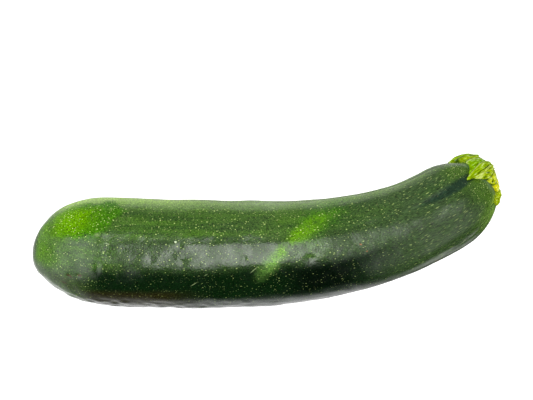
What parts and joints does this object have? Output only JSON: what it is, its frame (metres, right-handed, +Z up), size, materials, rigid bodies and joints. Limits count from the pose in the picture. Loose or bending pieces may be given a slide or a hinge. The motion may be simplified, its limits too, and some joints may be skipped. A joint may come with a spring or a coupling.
{
  "type": "courgette",
  "caption": "Whole picked courgette: long dark green fruit, bent and ribbed at the neck, with a short star-shaped cut stem stub. Lies on its side.",
  "frame": {"origin": "middle of the whole object's box, at the level that it rests on", "axes": "+X from the blossom end to the stem end, +Y toward the side that the neck bends to, +Z up as it lies on its side"},
  "size_m": [0.201, 0.0682, 0.0461],
  "materials": {
    "skin": "satin",
    "stem": "satin"
  },
  "bodies": {
    "root": {"fruit": "skin", "stem_stub": "stem"}
  },
  "joints": []
}
